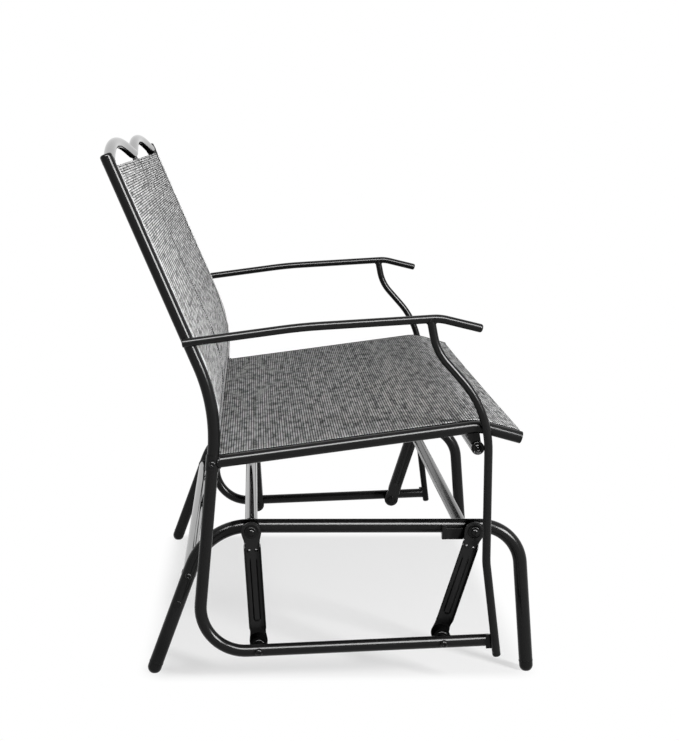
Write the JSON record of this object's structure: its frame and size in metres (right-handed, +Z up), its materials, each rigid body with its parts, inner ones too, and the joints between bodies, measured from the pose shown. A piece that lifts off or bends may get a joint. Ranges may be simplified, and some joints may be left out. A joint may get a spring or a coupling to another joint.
{
  "type": "glider bench",
  "caption": "Two-seat patio glider bench: a sling seat frame with armrests hangs on swing arms from a standing tube base.",
  "frame": {"origin": "on the ground, in the middle of the bench's overall box", "axes": "+X across the bench to the sitter's left, front faces -Y, +Z up"},
  "size_m": [1.1488, 0.7421, 0.9125],
  "materials": {
    "black_frame": "smooth gloss black powder coat",
    "black_fastener": "black coated steel",
    "black_plastic": "satin black moulded plastic",
    "bush_plastic": "dark nylon",
    "sling_fabric": "grey and black woven mesh sling"
  },
  "bodies": {
    "base": {"base_arch_left": "black_frame", "base_arch_right": "black_frame", "rear_upper_cross_tube": "black_frame", "rear_lower_cross_tube": "black_frame", "front_upper_cross_tube": "black_frame", "front_saddle_left": "black_frame", "front_saddle_right": "black_frame", "foot_caps": "black_plastic", "cross_tube_inserts": "black_fastener", "leg_bolts": "black_fastener", "leg_plugs": "black_plastic", "top_pivot_bolts": "black_fastener", "top_pivot_washers": "black_fastener", "top_pivot_nuts": "black_fastener"},
    "rear_arm_left": {"rear_arm_pressing_left": "black_frame", "rear_arm_housings_left": "black_frame", "rear_arm_bushes_left": "bush_plastic"},
    "rear_arm_right": {"rear_arm_pressing_right": "black_frame", "rear_arm_housings_right": "black_frame", "rear_arm_bushes_right": "bush_plastic"},
    "front_arm_left": {"front_arm_pressing_left": "black_frame", "front_arm_housings_left": "black_frame", "front_arm_bushes_left": "bush_plastic"},
    "front_arm_right": {"front_arm_pressing_right": "black_frame", "front_arm_housings_right": "black_frame", "front_arm_bushes_right": "bush_plastic"},
    "seat_frame": {"back_upright_left": "black_frame", "back_upright_right": "black_frame", "lower_leg_left": "black_frame", "lower_leg_right": "black_frame", "joint_band_left": "black_frame", "joint_band_right": "black_frame", "seat_rail_left": "black_frame", "seat_rail_right": "black_frame", "armrest_left": "black_frame", "armrest_right": "black_frame", "arm_post_left": "black_frame", "arm_post_right": "black_frame", "back_top_tube": "black_frame", "back_centre_bar": "black_frame", "front_seat_cross_tube": "black_frame", "rear_seat_cross_tube": "black_frame", "front_hangers": "black_frame", "bottom_pivot_bolts": "black_fastener", "bottom_pivot_spacers": "black_fastener", "bottom_pivot_washers": "black_fastener", "bottom_pivot_nuts": "black_fastener", "joint_band_bolts": "black_fastener", "upright_caps": "black_plastic", "armrest_caps": "black_plastic", "post_caps": "black_plastic", "seat_rail_caps": "black_plastic", "cross_tube_plugs": "black_plastic", "seat_sling": "sling_fabric", "back_sling": "sling_fabric"}
  },
  "joints": [
    {"name": "glide", "type": "hinge", "parent": "base", "child": "rear_arm_left", "pos_m": [0.478, 0.1255, 0.259], "axis": [1, 0, 0], "range_deg": [-13, 18]},
    {"name": "rear_right_swing", "type": "hinge", "parent": "base", "child": "rear_arm_right", "pos_m": [-0.478, 0.1255, 0.259], "axis": [1, 0, 0], "range_deg": [-13.5, 18.5]},
    {"name": "front_left_swing", "type": "hinge", "parent": "base", "child": "front_arm_left", "pos_m": [0.478, -0.253, 0.259], "axis": [1, 0, 0], "range_deg": [-15.5, 21]},
    {"name": "front_right_swing", "type": "hinge", "parent": "base", "child": "front_arm_right", "pos_m": [-0.478, -0.253, 0.259], "axis": [1, 0, 0], "range_deg": [-15.5, 21]},
    {"name": "seat_pivot", "type": "hinge", "parent": "rear_arm_left", "child": "seat_frame", "pos_m": [0.515, 0.11202, 0.06948], "axis": [1, 0, 0], "range_deg": [-24.5, 18]}
  ],
  "couplings": [
    {"joint": "rear_right_swing", "follows": "glide", "ratio": 1},
    {"joint": "front_left_swing", "follows": "glide", "ratio": 1.1219},
    {"joint": "front_right_swing", "follows": "glide", "ratio": 1.1219},
    {"joint": "seat_pivot", "follows": "glide", "ratio": -1.2458}
  ]
}
